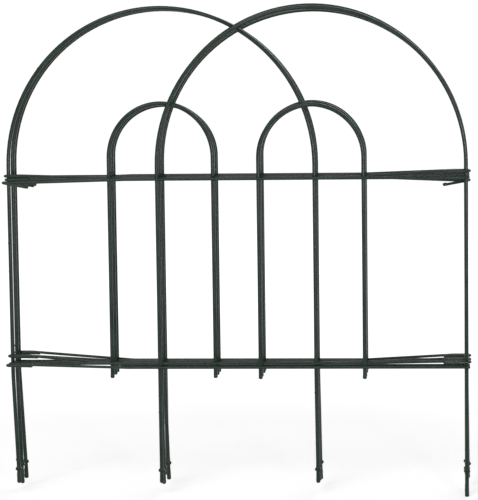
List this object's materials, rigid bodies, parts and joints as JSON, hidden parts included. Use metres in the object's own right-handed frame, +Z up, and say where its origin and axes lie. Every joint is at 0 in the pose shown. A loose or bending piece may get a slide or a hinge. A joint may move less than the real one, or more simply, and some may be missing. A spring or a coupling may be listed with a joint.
{
  "type": "folding wire garden edging fence",
  "caption": "Low garden border fence of dark green coated wire: arched hoops on straight rails, bays hinged end to end by hairpin hooks, shown folded flat.",
  "frame": {"origin": "flat cut end of the front bay's left leg, at the ground end", "axes": "+X along the front bay towards its hinge leg, +Y back through the folded stack, +Z up the legs"},
  "size_m": [0.4414, 0.0627, 0.4619],
  "materials": {
    "hoop_wire": "gloss",
    "rail_wire": "gloss"
  },
  "bodies": {
    "bay1": {"bay1_outer_hoop": "hoop_wire", "bay1_inner_hoop": "hoop_wire", "bay1_upper_rail": "rail_wire", "bay1_lower_rail": "rail_wire"},
    "bay2": {"bay2_outer_hoop": "hoop_wire", "bay2_inner_hoop": "hoop_wire", "bay2_upper_rail": "rail_wire", "bay2_lower_rail": "rail_wire"},
    "bay3": {"bay3_outer_hoop": "hoop_wire", "bay3_inner_hoop": "hoop_wire", "bay3_upper_rail": "rail_wire", "bay3_lower_rail": "rail_wire"},
    "bay4": {"bay4_outer_hoop": "hoop_wire", "bay4_inner_hoop": "hoop_wire", "bay4_upper_rail": "rail_wire", "bay4_lower_rail": "rail_wire"},
    "bay5": {"bay5_outer_hoop": "hoop_wire", "bay5_inner_hoop": "hoop_wire", "bay5_upper_rail": "rail_wire", "bay5_lower_rail": "rail_wire"},
    "bay6": {"bay6_outer_hoop": "hoop_wire", "bay6_inner_hoop": "hoop_wire", "bay6_upper_rail": "rail_wire", "bay6_lower_rail": "rail_wire"},
    "bay7": {"bay7_outer_hoop": "hoop_wire", "bay7_inner_hoop": "hoop_wire", "bay7_upper_rail": "rail_wire", "bay7_lower_rail": "rail_wire"}
  },
  "joints": [
    {"name": "hinge1", "type": "hinge", "parent": "bay1", "child": "bay2", "pos_m": [0.29, 0, 0.1114], "axis": [0, 0, -1], "range_deg": [0, 180]},
    {"name": "hinge2", "type": "hinge", "parent": "bay2", "child": "bay3", "pos_m": [-0.1419, 0.0063, 0.1114], "axis": [0, 0, 1], "range_deg": [0, 180]},
    {"name": "hinge3", "type": "hinge", "parent": "bay3", "child": "bay4", "pos_m": [0.29, 0.0126, 0.1114], "axis": [0, 0, -1], "range_deg": [0, 178.67]},
    {"name": "hinge4", "type": "hinge", "parent": "bay4", "child": "bay5", "pos_m": [-0.14164, 0.0289, 0.1114], "axis": [0, 0, 1], "range_deg": [0, 178.67]},
    {"name": "hinge5", "type": "hinge", "parent": "bay5", "child": "bay6", "pos_m": [0.29026, 0.0352, 0.1114], "axis": [0, 0, -1], "range_deg": [0, 180]},
    {"name": "hinge6", "type": "hinge", "parent": "bay6", "child": "bay7", "pos_m": [-0.14164, 0.0415, 0.1114], "axis": [0, 0, 1], "range_deg": [0, 180]}
  ]
}
